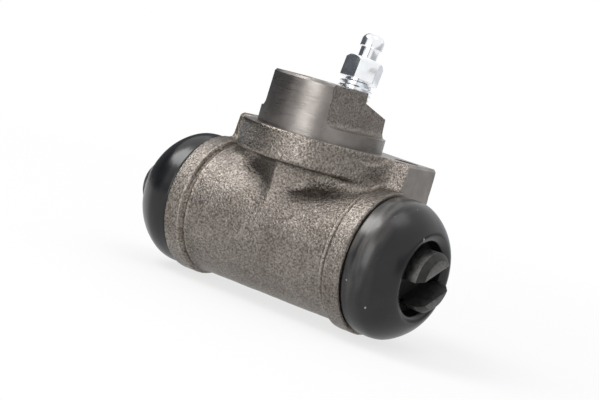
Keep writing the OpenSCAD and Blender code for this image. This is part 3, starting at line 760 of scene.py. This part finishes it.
s = screw
hexTop = s["neck"] + s["hexHeight"]
tip = hexTop + s["nipple"]
barb = tip - s["barbLength"]
stem, seatFoot, wayFoot = s["stem"], s["seatEnd"] - s["seatLength"], hexTop - s["wayDepth"]
coreOutline = [
    (0, seatFoot), (s["tip"], seatFoot), (s["shank"], s["seatEnd"]), (s["shank"], hexTop), (stem + s["stemRoot"], hexTop),
    (stem, hexTop + s["stemRoot"]), (stem, barb - 0.12), (stem + 0.05, barb), (s["barb"] - 0.1, barb),
    (s["barb"], barb + 0.12)]
coreOutline += [(s["barb"] - inset, tip - drop) for inset, drop in s["nose"]]
coreOutline += [(s["way"] + s["wayEdge"], tip), (s["way"], tip - s["wayEdge"]), (s["way"], wayFoot), (0, wayFoot)]
screwPiece = asObject(turned(coreOutline, onBleed, 64), "bleedScrew", [brightZinc])
hexRadius = s["hexFlats"] / 2 / math.cos(math.pi / 6)
turn = Matrix.Rotation(math.radians(s["hexTurn"] - 30), 4, "Z")
place = onBleed @ turn @ Matrix.Translation((0, 0, s["neck"] + s["hexHeight"] / 2))
hexPiece = asObject(roundBar(hexRadius, s["hexHeight"], 6, place), "hexagon", [brightZinc])
dish = [(0, s["neck"]), (hexRadius - 0.15, s["neck"]), (hexRadius + 0.05, s["neck"] + 0.12),
        (hexRadius + 0.05, hexTop - s["hexDrop"]), (s["hexFlats"] / 2 - 0.1, hexTop), (0, hexTop)]
combine(hexPiece, asObject(turned(dish, onBleed, 96), "dish", [brightZinc]), "INTERSECT")
softenEdges(hexPiece, 0.1, 2, 25)
combine(screwPiece, hexPiece, "UNION")
combine(screwPiece, asObject(threadShank(s), "thread", [brightZinc]), "UNION")
placePiece(screwPiece, "bleeder", "zinc", "bleed_screw", smooth=28)


# coil spring, one half for each piston

coil = {
    "radius": 4.3, "wire": 0.55, "turns": 3, "sides": 10, "steps": 36, "rightEnd": 11.4, "leftEnd": 13.5, "stretchTo": 1.2,
}


def makeCoil(name, sign, end):
    bm = bmesh.new()
    c = coil
    turn = Matrix.Rotation(math.pi / 2, 4, "X") @ Matrix.Rotation(math.pi / 2, 4, "Y")
    place = Matrix.Translation((0, c["radius"], boreZ)) @ turn
    bmesh.ops.create_circle(bm, segments=c["sides"], radius=c["wire"], cap_ends=True, matrix=place)
    steps = c["turns"] * c["steps"]
    rise = (end - c["wire"]) / steps
    bmesh.ops.spin(bm, geom=bm.faces[:] + bm.edges[:] + bm.verts[:], cent=(0, 0, boreZ), axis=(1, 0, 0), dvec=(rise, 0, 0),
                   angle=2 * math.pi * c["turns"], steps=steps)
    if sign < 0:
        bmesh.ops.transform(bm, matrix=otherEnd, verts=bm.verts)
    bmesh.ops.remove_doubles(bm, verts=bm.verts, dist=1e-4)
    bmesh.ops.recalc_face_normals(bm, faces=bm.faces)
    piece = asObject(bm, name, [plainSteel])
    placePiece(piece, None, "spring_steel", "return_spring", smooth=60)
    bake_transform(piece)


makeCoil("rightCoil", 1, coil["rightEnd"])
makeCoil("leftCoil", -1, coil["leftEnd"])

for node, finish in (("right_cup_seal", blackRubber), ("left_cup_seal", blackRubber),
                     ("right_cup_expander", plainSteel), ("left_cup_expander", plainSteel)):
    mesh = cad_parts[node].data
    mesh.materials.clear()
    mesh.materials.append(finish)
print("inner pieces done")


# camera at the photograph's view

view = {
    "azimuth": 33.793, "elevation": 5.283, "roll": 15.723, "distance": 0.3567, "target": (-0.000572, 0, -0.014832),
    "lens": 95.99,
}
azimuth, elevation, roll = (math.radians(view[k]) for k in ("azimuth", "elevation", "roll"))
back = Vector((math.sin(azimuth) * math.cos(elevation), -math.cos(azimuth) * math.cos(elevation), math.sin(elevation)))
level = Vector((math.cos(azimuth), math.sin(azimuth), 0))
upright = back.cross(level)
across = math.cos(roll) * level + math.sin(roll) * upright
above = math.cos(roll) * upright - math.sin(roll) * level
lensData = bpy.data.cameras.new("camera")
lensData.lens = view["lens"]
lensData.sensor_width = 36
lensData.clip_start = 0.01
camera = bpy.data.objects.new("camera", lensData)
stand = Matrix.Translation(Vector(view["target"]) + back * view["distance"])
camera.matrix_world = stand @ Matrix((across, above, back)).transposed().to_4x4()
bpy.context.scene.collection.objects.link(camera)
bpy.context.scene.camera = camera


# studio: pale floor, white surroundings, three softboxes, and screens for the reflections

def studioSpot(right, up, distance):  # place seen from the part, in degrees from the camera's side
    a = azimuth + math.radians(right)
    e = math.radians(up)
    return Vector(view["target"]) + distance * Vector((math.sin(a) * math.cos(e), -math.cos(a) * math.cos(e), math.sin(e)))


def facing(spot):
    return (Vector(view["target"]) - spot).to_track_quat("-Z", "Y").to_matrix().to_4x4()


softboxes = {
    "frontStrip": {"right": -32, "up": 13, "distance": 0.4, "size": (0.19, 0.28), "radiance": 2.8},
    "upperLeft": {"right": -90, "up": 50, "distance": 0.9, "size": (0.42, 0.42), "radiance": 7.6},
    "overhead": {"right": 62, "up": 75, "distance": 0.8, "size": (0.34, 0.34), "radiance": 1.8},
}
for name, box in softboxes.items():
    lamp = bpy.data.lights.new(name, "AREA")
    lamp.shape = "RECTANGLE"
    lamp.size, lamp.size_y = box["size"]
    lamp.energy = box["radiance"] * math.pi * box["size"][0] * box["size"][1]
    holder = bpy.data.objects.new(name, lamp)
    spot = studioSpot(box["right"], box["up"], box["distance"])
    holder.matrix_world = Matrix.Translation(spot) @ facing(spot)
    bpy.context.scene.collection.objects.link(holder)


def lightPathWhite(tree, mirrored=1.0):  # 1 for camera rays, and what is mirrored or seen through gets its share
    path = tree.nodes.new("ShaderNodeLightPath")
    others = mathNode(tree, "MAXIMUM", path.outputs["Is Glossy Ray"], path.outputs["Is Transmission Ray"])
    return mathNode(tree, "MAXIMUM", path.outputs["Is Camera Ray"], mathNode(tree, "MULTIPLY", others, mirrored))


def mixShaders(tree, share, low, high, output):
    either = tree.nodes.new("ShaderNodeMixShader")
    tree.links.new(share, either.inputs["Fac"])
    tree.links.new(low, either.inputs[1])
    tree.links.new(high, either.inputs[2])
    tree.links.new(either.outputs["Shader"], tree.nodes[output].inputs["Surface"])


world = bpy.data.worlds.new("studio")
bpy.context.scene.world = world
world.use_nodes = True
tree = world.node_tree
ambient = tree.nodes["Background"]
ambient.inputs["Color"].default_value = (1, 1, 1, 1)
ambient.inputs["Strength"].default_value = 0.7
white = tree.nodes.new("ShaderNodeBackground")
white.inputs["Color"].default_value = (1, 1, 1, 1)
mixShaders(tree, lightPathWhite(tree), ambient.outputs["Background"], white.outputs["Background"], "World Output")

floorLook = {
    "tone": (0.8, 0.8, 0.8, 1), "mirrored": 0.85, "white": (0.72, 1.0), "whiteFrom": (0.08, 0.3), "below": 0.0005, "size": 20,
}
floorPaint, tree, shader = newMaterial("floorPaint", Base_Color=floorLook["tone"], Roughness=0.9)
glow = tree.nodes.new("ShaderNodeEmission")
away = tree.nodes.new("ShaderNodeVectorMath")
away.operation = "LENGTH"
tree.links.new(tree.nodes.new("ShaderNodeTexCoord").outputs["Object"], away.inputs[0])
share = rangeNode(tree, away.outputs["Value"], *floorLook["white"], *floorLook["whiteFrom"])  # whiter with the distance
share = mathNode(tree, "MULTIPLY", lightPathWhite(tree, floorLook["mirrored"]), share)
mixShaders(tree, share, shader.outputs["BSDF"], glow.outputs["Emission"], "Material Output")
floorZ = cadBox[0].z - floorLook["below"]
bm = bmesh.new()
bmesh.ops.create_grid(bm, x_segments=1, y_segments=1, size=floorLook["size"], matrix=Matrix.Translation((0, 0, floorZ)))
floor = asObject(bm, "floor", [floorPaint])

screens = {  # upright reflectors round the part, out of the camera's sight
    "greyWall": {"from": 40, "to": 128, "radius": 0.44, "top": 0.115, "tone": (0.43, 0.43, 0.44)},
    "rearWall": {"from": 132, "to": 172, "radius": 0.44, "top": 0.16, "tone": (0.62, 0.64, 0.67)},
    "leftWall": {"from": -73, "to": -54, "radius": 0.44, "top": 0.06, "tone": (0.45, 0.45, 0.45)},
    "darkCard": {"from": -126, "to": -74, "radius": 0.42, "top": 0.29, "tone": (0.06, 0.067, 0.076)},
    "farCard": {"from": -178, "to": -126, "radius": 0.42, "top": 0.26, "tone": (0.08, 0.086, 0.094)},
    "narrowCard": {"from": -5, "to": 2, "radius": 0.34, "top": 0.17, "tone": (0.1, 0.1, 0.11)},
}
for name, screen in screens.items():
    glowing = {"Emission_Color": (*screen["tone"], 1), "Emission_Strength": 1.0}
    paper = newMaterial(name + "Paint", Base_Color=(0, 0, 0, 1), **glowing)[0]
    bm = bmesh.new()
    start = azimuth + math.radians(screen["from"]) - math.pi / 2
    x, y = screen["radius"] * math.cos(start), screen["radius"] * math.sin(start)
    verts = [bm.verts.new((x, y, z)) for z in (floorZ + floorLook["below"], screen["top"])]
    edge = bm.edges.new(verts)
    sweep = math.radians(screen["to"] - screen["from"])
    bmesh.ops.spin(bm, geom=verts + [edge], cent=(0, 0, 0), axis=(0, 0, 1), angle=sweep, steps=24)
    card = asObject(bm, name, [paper])
    card.visible_camera = False
    card.visible_shadow = False
    card.visible_diffuse = False
bpy.context.scene.view_settings.view_transform = "Standard"
print("studio done")
